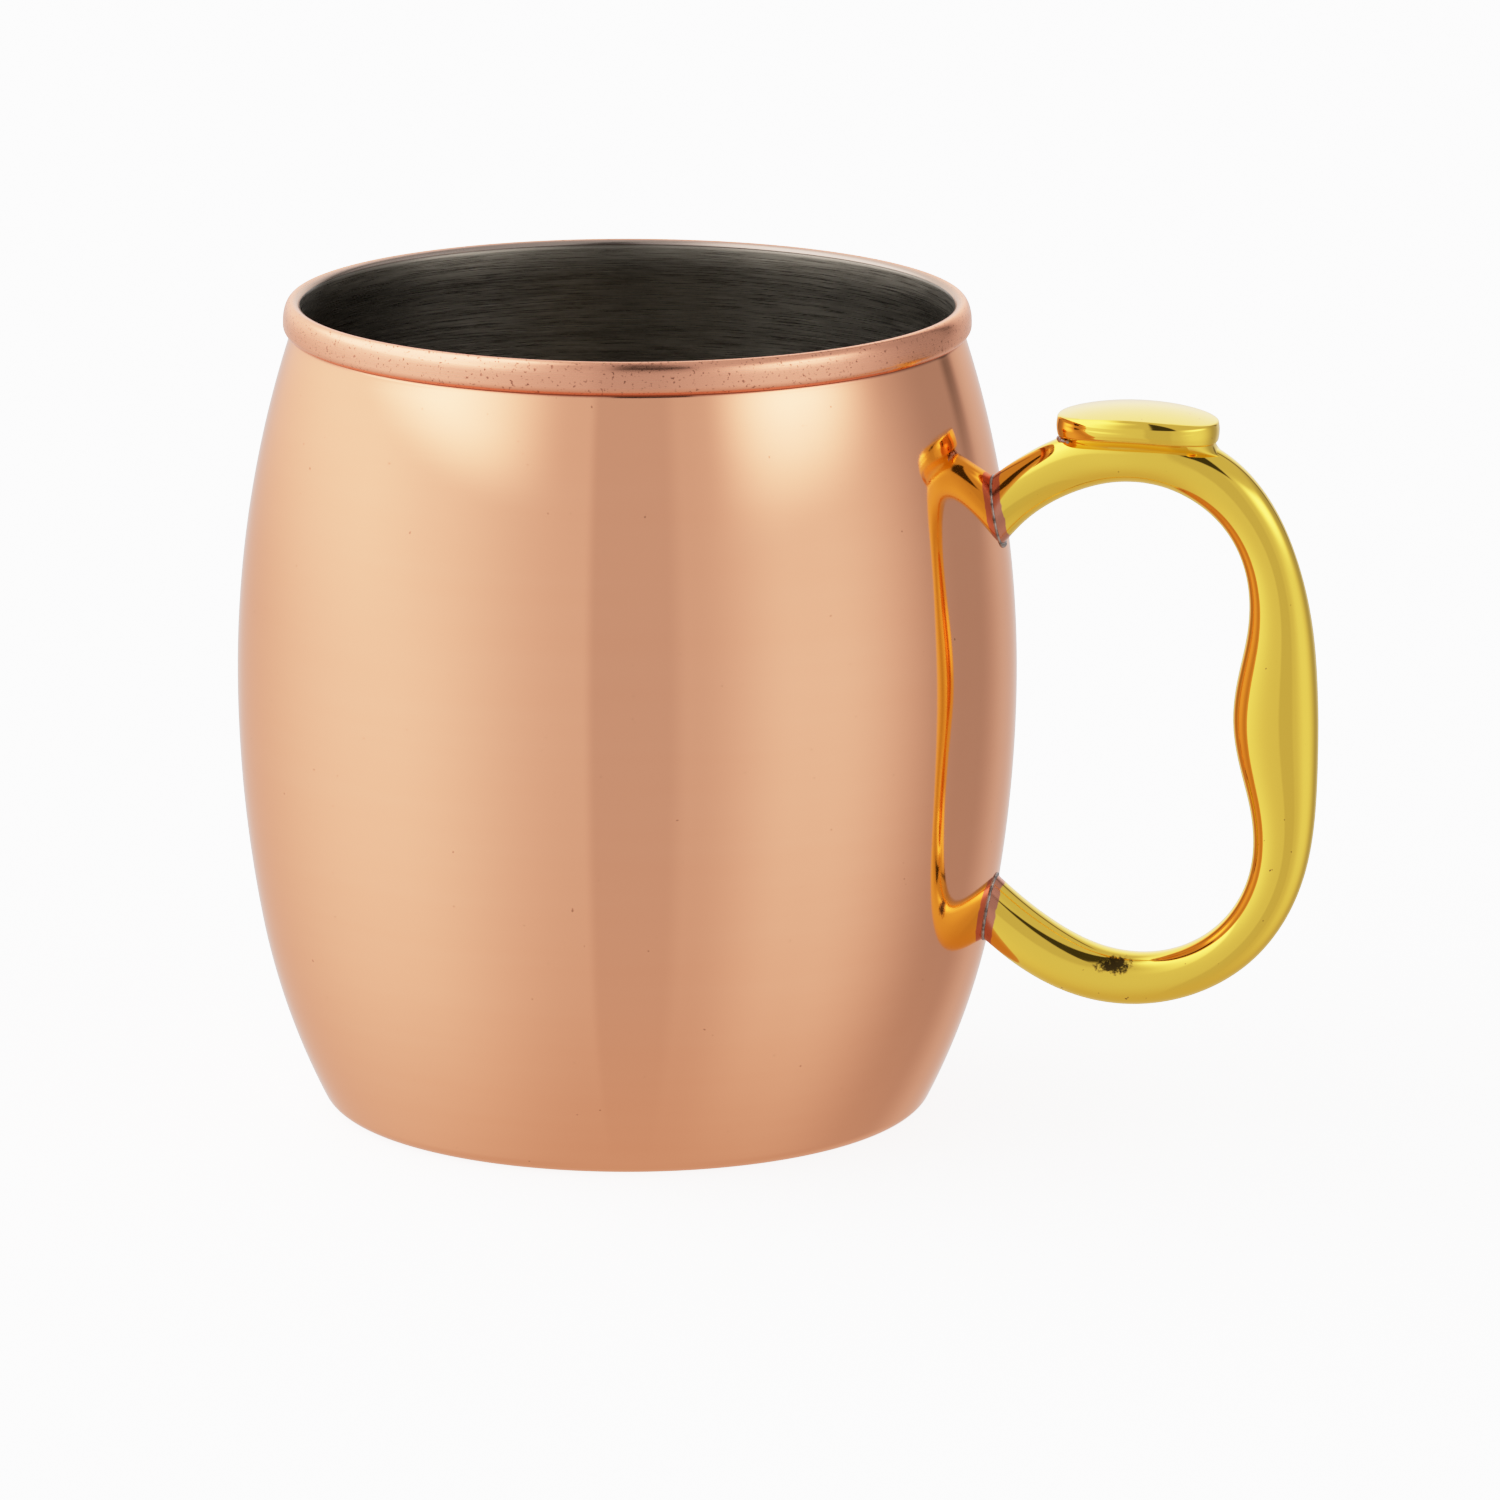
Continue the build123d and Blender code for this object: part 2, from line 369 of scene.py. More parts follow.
# ---------------------------------------------------------------- barrel
def wall_outline(inset):
    """The barrel's line from the neck down to the middle of the base, inset from the copper."""
    shoulder_centre = (BELLY_R - SHOULDER_ARC, BELLY_Z)
    neck_centre = (
        shoulder_centre[0] + (SHOULDER_ARC + NECK_ARC) * math.cos(NECK_TURN),
        BELLY_Z + (SHOULDER_ARC + NECK_ARC) * math.sin(NECK_TURN),
    )
    waist_centre = (BELLY_R - WAIST_ARC, BELLY_Z)
    heel_centre = (
        waist_centre[0] + (WAIST_ARC - HEEL_ARC) * math.cos(WAIST_TURN),
        BELLY_Z - (WAIST_ARC - HEEL_ARC) * math.sin(WAIST_TURN),
    )
    foot_centre = (
        heel_centre[0] + (HEEL_ARC - FOOT_ARC) * math.cos(FOOT_TURN),
        heel_centre[1] - (HEEL_ARC - FOOT_ARC) * math.sin(FOOT_TURN),
    )
    down = -math.pi / 2
    line = arc(neck_centre, NECK_ARC + inset, math.pi, math.pi + NECK_TURN, NECK_SPACING)
    line += arc(shoulder_centre, SHOULDER_ARC - inset, NECK_TURN, 0, SHELL_SPACING)[1:]
    line += arc(waist_centre, WAIST_ARC - inset, 0, -WAIST_TURN, SHELL_SPACING)[1:]
    line += arc(heel_centre, HEEL_ARC - inset, -WAIST_TURN, -FOOT_TURN, SHELL_SPACING)[1:]
    line += arc(foot_centre, FOOT_ARC - inset, -FOOT_TURN, down, FOOT_SPACING)[1:]
    rise_centre = (FOOT_RING_IN, PUSH_UP_ARC)
    level_centre = (
        FOOT_RING_IN - 2 * PUSH_UP_ARC * math.sin(PUSH_UP_TURN),
        PUSH_UP - PUSH_UP_ARC,
    )
    flat = np.linspace(line[-1][0], FOOT_RING_IN, FOOT_FLAT_POINTS)[1:-1]
    line += [(r, inset) for r in flat]
    rise = down - PUSH_UP_TURN
    level = -down - PUSH_UP_TURN
    line += arc(rise_centre, PUSH_UP_ARC - inset, down, rise, PUSH_UP_SPACING)
    line += arc(level_centre, PUSH_UP_ARC + inset, level, -down, PUSH_UP_SPACING)[1:]
    line += [(r, PUSH_UP + inset) for r in np.linspace(line[-1][0], 0, BASE_POINTS)[1:]]
    return line


def wall_radius(height):
    """The copper face's radius at a height between the foot and the neck."""
    if height >= BELLY_Z:
        return BELLY_R - SHOULDER_ARC + math.sqrt(SHOULDER_ARC**2 - (height - BELLY_Z) ** 2)
    waist_end = BELLY_Z - WAIST_ARC * math.sin(WAIST_TURN)
    if height >= waist_end:
        return BELLY_R - WAIST_ARC + math.sqrt(WAIST_ARC**2 - (height - BELLY_Z) ** 2)
    middle_r = BELLY_R - WAIST_ARC + (WAIST_ARC - HEEL_ARC) * math.cos(WAIST_TURN)
    middle_z = BELLY_Z - (WAIST_ARC - HEEL_ARC) * math.sin(WAIST_TURN)
    return middle_r + math.sqrt(HEEL_ARC**2 - (height - middle_z) ** 2)


def crest_outline(radius, start):
    """The rim's crest from an angle inside it over the top and down the softer outside."""
    top_z = ROLL_TOP_Z + radius
    fall = radius + ROLL_FALL
    centre = (ROLL_X, ROLL_TOP_Z)
    line = arc(centre, radius, math.radians(start), math.pi / 2, CREST_SPACING)
    for a in np.linspace(math.pi / 2, 0, CREST_POINTS)[1:]:
        line.append((ROLL_X + radius * math.cos(a), top_z - fall * (1 - math.sin(a))))
    return line


def roll_outline(radius, start, end):
    """The rolled rim's line, from start over the crest, down the outside and round the curl."""
    line = crest_outline(radius, start)
    side = np.linspace(line[-1][1], ROLL_LOW_Z, RIM_SIDE_POINTS)[1:-1]
    line += [(ROLL_X + radius, z) for z in side]
    return line + arc((ROLL_X, ROLL_LOW_Z), radius, 0, math.radians(end), CREST_SPACING)


def copper_outline():
    crease_z = MUG_HEIGHT - RIM_DEPTH
    outer_wall = [p for p in wall_outline(0) if p[1] < crease_z]
    inner_wall = [p for p in wall_outline(PLATING_T) if p[1] < crease_z + PLATING_T]
    outer_rim = roll_outline(ROLL_R + PLATING_T, PLATING_START, CREASE_ANGLE)
    inner_rim = roll_outline(ROLL_R, PLATING_START, CREASE_ANGLE)
    return outer_rim + outer_wall + inner_wall[::-1] + inner_rim[::-1]


def steel_outline():
    outer_wall = wall_outline(PLATING_T)
    inner_wall = wall_outline(WALL_T)
    crest = crest_outline(ROLL_R, 180)
    core = arc((ROLL_X, ROLL_TOP_Z), ROLL_R - WALL_T + PLATING_T, 0, math.pi, CORE_SPACING)
    leaf = [(ROLL_X + ROLL_R, ROLL_LOW_Z)]
    leaf_back = [(ROLL_X + ROLL_R - WALL_T + PLATING_T, ROLL_LOW_Z)]
    inside = inner_wall[::-1] + crest + leaf
    return inside + leaf_back + core + outer_wall


# ---------------------------------------------------------------- handle
def smooth_stations():
    """A natural cubic spline through the stations, as a function of 0 to 1 along the handle."""
    knots = np.array(HANDLE_STATIONS)
    gaps = np.hypot(*np.diff(knots[:, :2], axis=0).T)
    at = np.concatenate([[0], np.cumsum(gaps)])
    count = len(at)
    system = np.zeros((count, count))
    system[0, 0] = system[-1, -1] = 1
    bend = np.zeros_like(knots)
    for i in range(1, count - 1):
        system[i, i - 1 : i + 2] = gaps[i - 1], 2 * (gaps[i - 1] + gaps[i]), gaps[i]
        ahead = (knots[i + 1] - knots[i]) / gaps[i]
        behind = (knots[i] - knots[i - 1]) / gaps[i - 1]
        bend[i] = 6 * (ahead - behind)
    second = np.linalg.solve(system, bend)

    def value(along):
        s = np.clip(along, 0, 1) * at[-1]
        i = min(int(np.searchsorted(at, s, side="right")) - 1, count - 2)
        h = gaps[i]
        a, b = (at[i + 1] - s) / h, (s - at[i]) / h
        curve = (a**3 - a) * second[i] + (b**3 - b) * second[i + 1]
        return a * knots[i] + b * knots[i + 1] + curve * h * h / 6

    return value


station_at = smooth_stations()


def handle_point(along, around):
    """A point on the handle's skin. Around is 0 on the outer edge and pi on the inner."""
    x, z, thickness, width = station_at(along)
    before, after = station_at(along - HANDLE_STEP), station_at(along + HANDLE_STEP)
    direction = (after - before)[:2]
    direction /= np.linalg.norm(direction)
    outward = np.array([-direction[1], direction[0]])
    c, s = math.cos(around), math.sin(around)
    lift = math.copysign(abs(c) ** (2 / HANDLE_SQUARENESS), c) * thickness / 2
    side = math.copysign(abs(s) ** (2 / HANDLE_SQUARENESS), s) * width / 2
    return np.array([x + outward[0] * lift, side, z + outward[1] * lift])


def from_wall(point):
    """How far a point stands off the copper, level with it."""
    return math.hypot(point[0], point[1]) - wall_radius(point[2])


def wall_crossing(around, inside, outside):
    """Where one line along the handle enters the barrel."""
    for _ in range(END_HALVINGS):
        middle = (inside + outside) / 2
        if from_wall(handle_point(middle, around)) < 0:
            inside = middle
        else:
            outside = middle
    return (inside + outside) / 2


def build_handle(rings=260, sides=72):
    around = [2 * math.pi * j / sides for j in range(sides)]
    starts = [wall_crossing(a, 0.0, END_SEARCH) for a in around]
    ends = [wall_crossing(a, 1.0, 1 - END_SEARCH) for a in around]
    points = []
    for i in range(rings):
        s = i / (rings - 1)
        for j in range(sides):
            along = s + starts[j] * (1 - s) ** END_EASING - (1 - ends[j]) * s**END_EASING
            points.append(handle_point(along, around[j]))
    faces = []
    for i in range(rings - 1):
        for j in range(sides):
            k = (j + 1) % sides
            a, b = i * sides, (i + 1) * sides
            faces.append((a + j, b + j, b + k, a + k))
    faces.append(tuple(range(sides)))
    faces.append(tuple(reversed(range((rings - 1) * sides, rings * sides))))
    piece = add_mesh("cast_handle", points, faces, "cast_brass", "handle")
    add_values(piece, "from_wall", [from_wall(p) for p in points])
    piece.data.set_sharp_from_angle(angle=END_SHARP)
    return piece, points[:sides], points[-sides:]


# ---------------------------------------------------------------- thumb rest
def oval(turn, half_length, half_width, squareness):
    """A point of a squared oval and its outward normal."""
    c, s = math.cos(turn), math.sin(turn)
    x = math.copysign(abs(c) ** (2 / squareness), c) * half_length
    y = math.copysign(abs(s) ** (2 / squareness), s) * half_width
    nx = math.copysign(abs(x / half_length) ** (squareness - 1), c) / half_length
    ny = math.copysign(abs(y / half_width) ** (squareness - 1), s) / half_width
    return np.array([x, y]), np.array([nx, ny]) / math.hypot(nx, ny)


def rest_height(place):
    """The plate's crowned top at a place measured from its middle."""
    x, y = place
    crown = x * x / (2 * REST_ARCH) + y * y / (2 * REST_CROWN)
    return REST_TOP_Z - crown - x * math.tan(REST_TILT) + y * math.tan(REST_LEAN)


def skin_height(skin, place):
    """How high the handle's skin is under a place measured from the plate's middle."""
    start = Vector(((REST_X + place[0]), place[1], REST_TOP_Z - SKIN_CLEARANCE)) * MM
    hit = skin.ray_cast(start, Vector((0, 0, -1)))[0]
    return hit.z / MM


def foot_reach(turn):
    """Where the plate's foot lands on the handle."""
    half_length = FOOT_RIGHT if math.cos(turn) > 0 else FOOT_LEFT
    return oval(turn, half_length, FOOT_SIDE, FOOT_SQUARENESS)[0]


def rest_profile(turn, skin):
    """The plate's section from near its middle, over the edge and down to the handle."""
    rim, out = oval(turn, REST_LENGTH / 2, REST_WIDTH / 2, REST_SQUARENESS)
    edge = REST_END_EDGE + (REST_SIDE_EDGE - REST_END_EDGE) * math.sin(turn) ** 2
    shoulder = rim - out * edge * (1 - math.sin(REST_CORNER))
    line = []
    for share in np.linspace(REST_MIDDLE, 1.0, REST_TOP_POINTS):
        line.append((shoulder * share, rest_height(shoulder * share)))
    edge_z = rest_height(shoulder)
    for a in np.linspace(REST_CORNER, math.pi / 2, REST_CORNER_POINTS)[1:]:
        place = shoulder + out * edge * (math.sin(a) - math.sin(REST_CORNER))
        line.append((place, edge_z - edge * (math.cos(REST_CORNER) - math.cos(a))))
    low = edge_z - REST_BAND
    band_top = edge_z - edge * math.cos(REST_CORNER)
    for share in np.linspace(0, 1, REST_BAND_POINTS)[1:]:
        bulge = REST_BULGE * math.sin(math.pi * share)
        line.append((rim + out * bulge, band_top + (low + REST_TUCK - band_top) * share))
    for a in np.linspace(0, math.pi / 2, REST_TUCK_POINTS)[1:]:
        place = rim - out * REST_TUCK * (1 - math.cos(a))
        line.append((place, low + REST_TUCK * (1 - math.sin(a))))
    start = rim - out * REST_TUCK
    land = foot_reach(turn)
    land_z = skin_height(skin, land) - FOOT_SINK
    bend = start + (land - start) * FOOT_BEND
    if math.hypot(*land) > math.hypot(*start):
        bend = start + (land - start) * FOOT_BEND_OUT
    drop = FOOT_DROP
    if land[0] > 0:
        drop += FOOT_END_DROP * math.cos(turn)
    bend_z = low * (1 - drop) + land_z * drop
    for t in np.linspace(0, 1, FOOT_POINTS)[1:]:
        place = start * (1 - t) ** 2 + bend * 2 * t * (1 - t) + land * t * t
        line.append((place, low * (1 - t) ** 2 + bend_z * 2 * t * (1 - t) + land_z * t * t))
    return line


def build_thumb_rest(skin, sides=180):
    sections = [rest_profile(2 * math.pi * step / sides, skin) for step in range(sides)]
    points = [(REST_X, 0.0, REST_TOP_Z)]
    rows = len(sections[0])
    for row in range(rows):
        for section in sections:
            place, height = section[row]
            points.append((REST_X + place[0], place[1], height))
    faces = [(0, 1 + step, 1 + (step + 1) % sides) for step in range(sides)]
    for row in range(rows - 1):
        a, b = 1 + row * sides, 1 + (row + 1) * sides
        for step in range(sides):
            ahead = (step + 1) % sides
            faces.append((a + step, b + step, b + ahead, a + ahead))
    last = 1 + (rows - 1) * sides
    faces.append(tuple(reversed(range(last, last + sides))))
    piece = add_mesh("rest_plate", points, faces, "cast_brass", "thumb_rest")
    piece.data.set_sharp_from_angle(angle=REST_SHARP)
    return piece


# ---------------------------------------------------------------- solder
def build_bead(name, line, radii, closed, node):
    """A lumpy bead of solder along a line of points, one radius for each point."""
    sides = SOLDER_SIDES
    points = []
    count = len(line)
    for i in range(count):
        here = np.array(line[i])
        after, before = line[(i + 1) % count], line[i - 1]
        if not closed:
            after, before = line[min(i + 1, count - 1)], line[max(i - 1, 0)]
        tangent = np.array(after) - np.array(before)
        tangent /= np.linalg.norm(tangent)
        side = np.cross(tangent, SOLDER_SIDEWAYS)
        side /= np.linalg.norm(side)
        up = np.cross(side, tangent)
        for j in range(sides):
            turn = 2 * math.pi * j / sides
            lump = radii[i] * (1 + random.uniform(-SOLDER_LUMP, SOLDER_LUMP))
            points.append(here + (up * math.cos(turn) + side * math.sin(turn)) * lump)
    faces = []
    for i in range(count if closed else count - 1):
        a, b = i * sides, ((i + 1) % count) * sides
        for j in range(sides):
            k = (j + 1) % sides
            faces.append((a + j, a + k, b + k, b + j))
    if not closed:
        faces.append(tuple(reversed(range(sides))))
        faces.append(tuple(range((count - 1) * sides, count * sides)))
    piece = add_mesh(name, points, faces, "solder", node)
    rounder = piece.modifiers.new("rounder", "SUBSURF")
    rounder.levels = rounder.render_levels = 1
    return piece


def collar_radii(count, seam, at):
    """A thin seam that swells to a blob at one turn round the handle's end."""
    thin, blob = seam
    radii = []
    for i in range(count):
        away = abs((2 * math.pi * i / count - at + math.pi) % (2 * math.pi) - math.pi)
        radii.append(thin + (blob - thin) * math.exp(-((away / BLOB_SPREAD) ** 2)))
    return radii


def build_rest_solder(skin):
    """A crust of solder left in the corner at the plate's barrel end."""
    line, radii = [], []
    for turn in np.radians(np.linspace(*CRUST_TURN, CRUST_COUNT)):
        place = foot_reach(turn) * CRUST_OUT
        line.append((REST_X + place[0], place[1], skin_height(skin, place)))
        radii.append(CRUST_THIN + CRUST_MORE * random.random())
    return build_bead("rest_solder", line, radii, False, "thumb_rest_braze")


# ---------------------------------------------------------------- materials
class Nodes:
    """Short names for building the node tree of a material or of the world."""

    def __init__(self, owner):
        owner.use_nodes = True
        self.tree = owner.node_tree
        self.tree.nodes.clear()

    def principled(self):
        output = self.add("ShaderNodeOutputMaterial")
        self.shader = self.add("ShaderNodeBsdfPrincipled")
        self.link(self.shader.outputs["BSDF"], output.inputs["Surface"])
        return self.shader

    def add(self, kind, **settings):
        node = self.tree.nodes.new(kind)
        for key, value in settings.items():
            setattr(node, key, value)
        return node

    def link(self, source, target):
        self.tree.links.new(source, target)

    def math(self, operation, first, second=None, clamp=False):
        node = self.add("ShaderNodeMath", operation=operation, use_clamp=clamp)
        for socket, value in zip(node.inputs, (first, second)):
            if isinstance(value, bpy.types.NodeSocket):
                self.link(value, socket)
            elif value is not None:
                socket.default_value = value
        return node.outputs[0]

    def noise(self, vector, scale, detail=2.0, roughness=0.5):
        node = self.add("ShaderNodeTexNoise")
        self.link(vector, node.inputs["Vector"])
        node.inputs["Scale"].default_value = scale
        node.inputs["Detail"].default_value = detail
        node.inputs["Roughness"].default_value = roughness
        return node.outputs["Fac"]

    def ramp(self, value, low, high, start=0.0, end=1.0):
        node = self.add("ShaderNodeMapRange", interpolation_type="SMOOTHSTEP")
        self.link(value, node.inputs["Value"])
        node.inputs["From Min"].default_value = low
        node.inputs["From Max"].default_value = high
        node.inputs["To Min"].default_value = start
        node.inputs["To Max"].default_value = end
        return node.outputs["Result"]

    def mix(self, factor, first, second):
        node = self.add("ShaderNodeMix", data_type="RGBA")
        self.link(factor, node.inputs[0])
        for socket, value in ((node.inputs[6], first), (node.inputs[7], second)):
            if isinstance(value, bpy.types.NodeSocket):
                self.link(value, socket)
            else:
                socket.default_value = (*value, 1)
        return node.outputs[2]

    def spot(self):
        return self.add("ShaderNodeTexCoord").outputs["Object"]

    def around_axis(self):
        """(turn about Z, height in mm, radius in mm) of a surface point."""
        parts = self.add("ShaderNodeSeparateXYZ")
        self.link(self.spot(), parts.inputs[0])
        x, y, z = parts.outputs
        turn = self.math("ARCTAN2", y, x)
        squares = self.math("MULTIPLY", x, x), self.math("MULTIPLY", y, y)
        radius = self.math("SQRT", self.math("ADD", *squares))
        return turn, self.math("DIVIDE", z, MM), self.math("DIVIDE", radius, MM)

    def brushed(self, along, across, detail, roughness):
        """Noise drawn out round the barrel, as brush and polish marks are."""
        turn, height, radius = self.around_axis()
        vector = self.add("ShaderNodeCombineXYZ")
        self.link(self.math("MULTIPLY", self.math("COSINE", turn), along), vector.inputs[0])
        self.link(self.math("MULTIPLY", self.math("SINE", turn), along), vector.inputs[1])
        level = self.math("ADD", height, self.math("MULTIPLY", radius, MARK_SLANT))
        self.link(self.math("MULTIPLY", level, across), vector.inputs[2])
        return self.noise(vector.outputs[0], 1.0, detail, roughness)

    def metal(self, base, rough):
        self.link(base, self.shader.inputs["Base Color"])
        self.link(rough, self.shader.inputs["Roughness"])
        self.shader.inputs["Metallic"].default_value = 1.0

    def brushing(self, strength):
        """Stretch the gloss across marks that run round the barrel."""
        self.shader.inputs["Anisotropic"].default_value = strength
        self.shader.inputs["Anisotropic Rotation"].default_value = QUARTER_TURN
        tangent = self.add("ShaderNodeTangent", direction_type="RADIAL", axis="Z")
        self.link(tangent.outputs[0], self.shader.inputs["Tangent"])

    def bump(self, height, strength, distance):
        bump = self.add("ShaderNodeBump")
        bump.inputs["Strength"].default_value = strength
        bump.inputs["Distance"].default_value = distance
        self.link(height, bump.inputs["Height"])
        self.link(bump.outputs[0], self.shader.inputs["Normal"])


def new_metal(name):
    material = bpy.data.materials.new(name)
    nodes = Nodes(material)
    nodes.principled()
    return material, nodes


def copper_material():
    material, n = new_metal("polished_copper")
    height, radius = n.around_axis()[1:]
    fine = n.brushed(*COPPER_FINE_MARKS)
    specks = n.ramp(n.noise(n.spot(), *SPECK_NOISE), *SPECK_EDGE)
    base = n.mix(n.brushed(*COPPER_BROAD_MARKS), *COPPER_BASE)
    base = n.mix(specks, base, COPPER_SPECK)

    bead = n.ramp(height, *BEAD_FADE)
    base = n.mix(bead, base, BEAD_BASE)
    pores = n.ramp(n.noise(n.spot(), *PORE_NOISE), *PORE_EDGE)
    base = n.mix(n.math("MULTIPLY", bead, pores), base, BEAD_PORE)
    # Painted shade: a dark band in the crease under the bead
    under = n.ramp(height, *CREASE_SHADE_RISE)
    crease_painted_shade = n.math("MULTIPLY", under, n.ramp(height, *CREASE_SHADE_FALL, 1.0, 0.0))
    base = n.mix(crease_painted_shade, base, BEAD_CREASE_PAINTED_SHADE)
    inner = n.ramp(radius, *CREST_INSIDE, 1.0, 0.0)
    crest = n.math("MULTIPLY", inner, n.ramp(height, *CREST_RISE))
    base = n.mix(crest, base, BEAD_CREST)

    satin = n.math("MULTIPLY", bead, n.ramp(fine, *MARK_RANGE, *BEAD_ROUGH))
    n.metal(base, n.math("ADD", n.ramp(fine, *MARK_RANGE, *COPPER_ROUGH), satin))
    n.shader.inputs["Specular Tint"].default_value = COPPER_GRAZING
    n.brushing(COPPER_BRUSHING)
    n.bump(fine, COPPER_BUMP, FINE_BUMP)
    return material


def steel_material():
    material, n = new_metal("brushed_steel")
    height = n.around_axis()[1]
    fine = n.brushed(*STEEL_FINE_MARKS)
    streak = n.math("MULTIPLY", n.brushed(*STEEL_BROAD_MARKS), STEEL_STREAK)
    base = n.mix(n.ramp(n.math("ADD", fine, streak), *STEEL_EDGE), *STEEL_BASE)
    base = n.mix(n.ramp(height, *STEEL_CREST_RISE), base, STEEL_CREST)
    n.metal(base, n.ramp(fine, *MARK_RANGE, *STEEL_ROUGH))
    n.brushing(STEEL_BRUSHING)
    n.bump(fine, STEEL_BUMP, FINE_BUMP)
    return material


def dark_reflection_mask(n):
    """A rough painted dark reflection on the near side of the lower arm."""
    parts = n.add("ShaderNodeSeparateXYZ")
    n.link(n.spot(), parts.inputs[0])
    x, y, z = parts.outputs
    along = n.math("DIVIDE", n.math("SUBTRACT", x, DARK_REFLECTION_X * MM), DARK_REFLECTION_LENGTH * MM)
    across = n.math("DIVIDE", n.math("SUBTRACT", z, DARK_REFLECTION_Z * MM), DARK_REFLECTION_HEIGHT * MM)
    away = n.math("ADD", n.math("MULTIPLY", along, along), n.math("MULTIPLY", across, across))
    tear = n.math("MULTIPLY", n.noise(n.spot(), *DARK_REFLECTION_NOISE), DARK_REFLECTION_TEAR)
    near = n.ramp(y, *DARK_REFLECTION_NEAR, 1.0, 0.0)
    return n.math("MULTIPLY", n.ramp(n.math("ADD", away, tear), *DARK_REFLECTION_EDGE, 1.0, 0.0), near)


def brass_colour(n):
    """Brass with faint clouds and a few dark pits."""
    base = n.mix(n.noise(n.spot(), *BRASS_CLOUD), *BRASS_BASE)
    pits = n.ramp(n.noise(n.spot(), *PIT_NOISE), *PIT_EDGE)
    return n.mix(pits, base, BRASS_PIT)


def brass_material():
    material, n = new_metal("cast_brass")
    wall = n.add("ShaderNodeAttribute", attribute_name="from_wall").outputs["Fac"]
    ragged = n.math("ADD", wall, n.math("MULTIPLY", n.noise(n.spot(), TINT_NOISE), TINT_TEAR))
    tint = n.ramp(ragged, *TINT_EDGE, 1.0, 0.0)
    # Painted dark reflection on the near side of the lower arm
    dark_reflection = dark_reflection_mask(n)
    base = n.mix(dark_reflection, n.mix(tint, brass_colour(n), BRASS_TINT), DARK_REFLECTION_COLOUR)
    rough = n.ramp(n.noise(n.spot(), BRASS_GLOSS_NOISE), *MARK_RANGE, *BRASS_ROUGH)
    rough = n.math("ADD", rough, n.math("MULTIPLY", tint, TINT_ROUGH))
    n.metal(base, n.math("ADD", rough, n.math("MULTIPLY", dark_reflection, DARK_REFLECTION_ROUGH)))
    n.bump(n.noise(n.spot(), BRASS_BUMP_NOISE, 2.0), BRASS_BUMP, COARSE_BUMP)
    return material


def plate_material():
    material, n = new_metal("cast_brass_plate")
    gloss = n.noise(n.spot(), BRASS_GLOSS_NOISE)
    n.metal(brass_colour(n), n.ramp(gloss, *MARK_RANGE, *BRASS_ROUGH))
    return material


def solder_material():
    material, n = new_metal("silver_solder")
    grain = n.noise(n.spot(), *SOLDER_NOISE)
    base = n.mix(n.ramp(grain, *SOLDER_EDGE), *SOLDER_BASE)
    n.metal(base, n.ramp(grain, *MARK_RANGE, *SOLDER_ROUGH))
    n.bump(grain, SOLDER_BUMP, COARSE_BUMP)
    return material


# ---------------------------------------------------------------- studio
def build_floor():
    """A pale floor, lit whiter for the camera; polished metal sees the studio below instead."""
    half = FLOOR_HALF
    mesh = bpy.data.meshes.new("floor")
    corners = [(-half, -half, 0), (half, -half, 0), (half, half, 0), (-half, half, 0)]
    mesh.from_pydata(corners, [], [(0, 1, 2, 3)])
    floor = bpy.data.objects.new("floor", mesh)
    bpy.context.scene.collection.objects.link(floor)
    floor.visible_glossy = False
    material = bpy.data.materials.new("pale_floor")
    n = Nodes(material)
    shader = n.principled()
    shader.inputs["Base Color"].default_value = FLOOR_WHITE
    shader.inputs["Roughness"].default_value = 1.0
    shader.inputs["Specular IOR Level"].default_value = 0.0
    shader.inputs["Emission Color"].default_value = (1, 1, 1, 1)
    seen = n.add("ShaderNodeLightPath").outputs["Is Camera Ray"]
    n.link(n.math("MULTIPLY", seen, FLOOR_GLOW), shader.inputs["Emission Strength"])
    mesh.materials.append(material)


def studio_light(n):
    """Brightness of the white tent by turn from the camera (+ right) and elevation, degrees."""
    direction = n.add("ShaderNodeSeparateXYZ")
    n.link(n.add("ShaderNodeTexCoord").outputs["Generated"], direction.inputs[0])
    x, y, z = direction.outputs
    turn = math.radians(CAMERA_AZIMUTH)
    right = n.math(
        "ADD", n.math("MULTIPLY", x, math.cos(turn)), n.math("MULTIPLY", y, math.sin(turn))
    )
    front = n.math(
        "SUBTRACT", n.math("MULTIPLY", x, math.sin(turn)), n.math("MULTIPLY", y, math.cos(turn))
    )
    az = n.math("DEGREES", n.math("ARCTAN2", right, front))
    el = n.math("DEGREES", n.math("ARCSINE", z))

    wall = None
    for start, end, gain in TENT_WALL:
        if start < end:
            step = n.ramp(az, start, end, 0.0, gain)
        else:
            step = n.ramp(az, end, start, gain, 0.0)
        wall = n.math("ADD", wall, step) if wall else n.math("ADD", step, TENT_FRONT)

    below = n.ramp(el, *TENT_BOUNCE, 1.0, 0.0)
    light = n.mix(below, wall, FLOOR_BOUNCE)
    above = n.ramp(el, *TENT_ROOF)
    light = n.mix(above, light, (TENT_TOP,) * 3)
    for (a0, a1, a2, a3), (e0, e1, e2, e3), strength in TENT_PANELS:
        across = n.math("MULTIPLY", n.ramp(az, a0, a1), n.ramp(az, a2, a3, 1.0, 0.0))
        upright = n.math("MULTIPLY", n.ramp(el, e0, e1), n.ramp(el, e2, e3, 1.0, 0.0))
        light = n.mix(n.math("MULTIPLY", across, upright), light, (strength,) * 3)
    return light


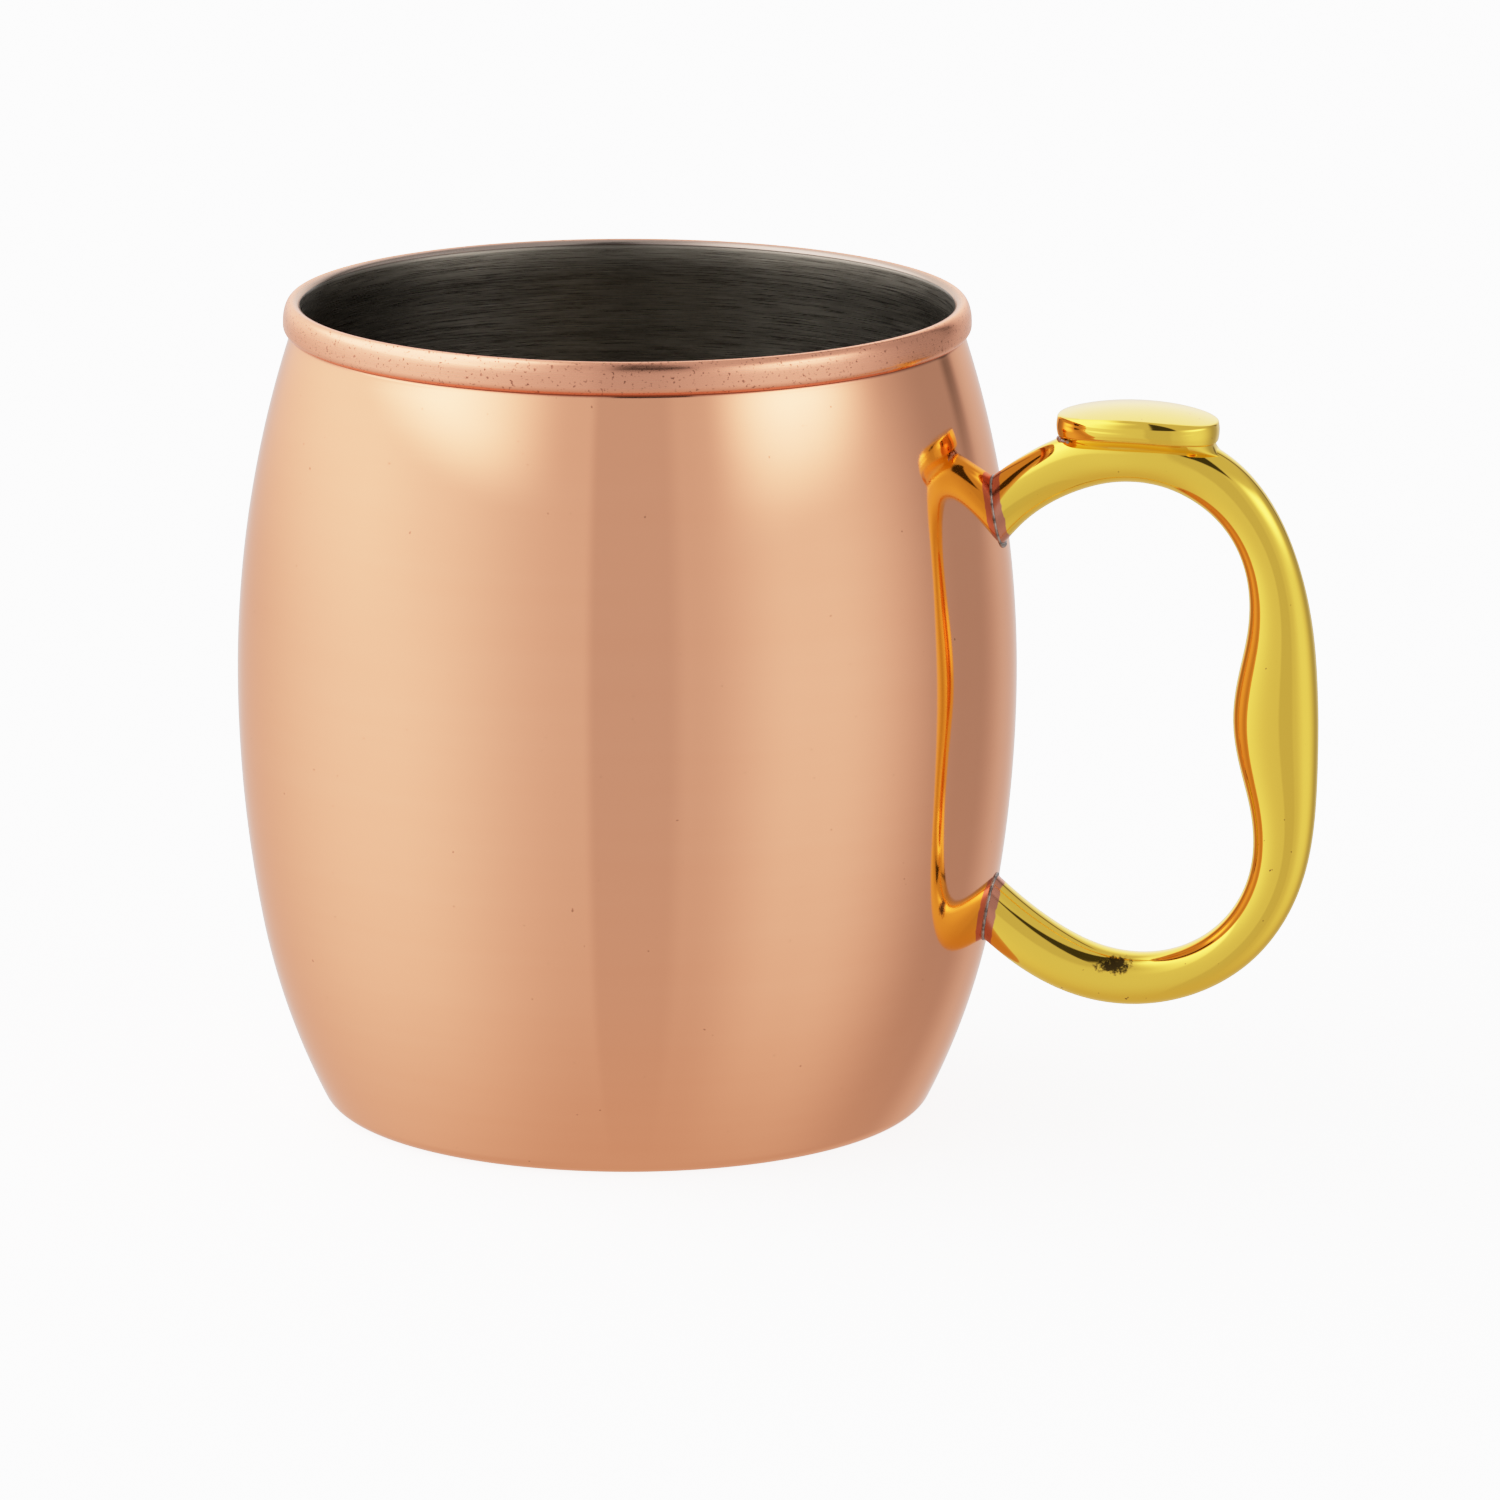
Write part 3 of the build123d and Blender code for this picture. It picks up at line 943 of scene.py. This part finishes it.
def build_studio():
    world = bpy.data.worlds.new("studio")
    bpy.context.scene.world = world
    n = Nodes(world)
    background = n.add("ShaderNodeBackground")
    n.link(studio_light(n), background.inputs["Color"])
    n.link(background.outputs[0], n.add("ShaderNodeOutputWorld").inputs[0])

    settings = bpy.context.scene.view_settings
    settings.view_transform = "Standard"
    settings.look = "None"
    settings.use_curve_mapping = True
    curves = settings.curve_mapping
    curves.white_level = (FILM_WHITE,) * 3
    film = curves.curves[3]
    film.points[0].location = (0, 0)
    film.points[1].location = (1, 1)
    for light, shown in FILM_SHOULDER:
        film.points.new(light / FILM_WHITE, shown)
    curves.update()


def build_camera():
    data = bpy.data.cameras.new("camera")
    data.lens = CAMERA_LENS
    data.sensor_width = CAMERA_SENSOR
    data.clip_end = CAMERA_REACH
    camera = bpy.data.objects.new("camera", data)
    bpy.context.scene.collection.objects.link(camera)
    bpy.context.scene.camera = camera
    a, e = math.radians(CAMERA_AZIMUTH), math.radians(CAMERA_ELEVATION)
    back = Vector((math.sin(a) * math.cos(e), -math.cos(a) * math.cos(e), math.sin(e)))
    aim = (-back).to_track_quat("-Z", "Y").to_matrix()
    aside = aim @ Vector((CAMERA_RIGHT, -CAMERA_DOWN, 0))
    place = (Vector((0, 0, MUG_HEIGHT / 2)) + back * CAMERA_DISTANCE + aside) * MM
    turned = aim @ Matrix.Rotation(math.radians(CAMERA_ROLL), 3, "Z")
    camera.matrix_world = Matrix.LocRotScale(place, turned.to_quaternion(), None)


steel = lathe("drawn_steel_cup", steel_outline(), BARREL_SEGMENTS, "steel", "steel_cup")
copper = lathe("copper_skin", copper_outline(), BARREL_SEGMENTS, "copper", "copper_plating")
handle, upper_ring, lower_ring = build_handle()
handle_skin = BVHTree.FromObject(handle, bpy.context.evaluated_depsgraph_get())
plate = build_thumb_rest(handle_skin)
rest_solder = build_rest_solder(handle_skin)
ring = len(upper_ring)
upper_radii = collar_radii(ring, SEAM_UPPER, math.pi)
upper = build_bead("upper_solder", upper_ring, upper_radii, True, "upper_braze")
lower_radii = collar_radii(ring, SEAM_LOWER, math.pi)
lower = build_bead("lower_solder", lower_ring, lower_radii, True, "lower_braze")

steel.data.materials.append(steel_material())
copper.data.materials.append(copper_material())
handle.data.materials.append(brass_material())
plate.data.materials.append(plate_material())
solder = solder_material()
upper.data.materials.append(solder)
lower.data.materials.append(solder)
rest_solder.data.materials.append(solder)

build_floor()
build_studio()
build_camera()
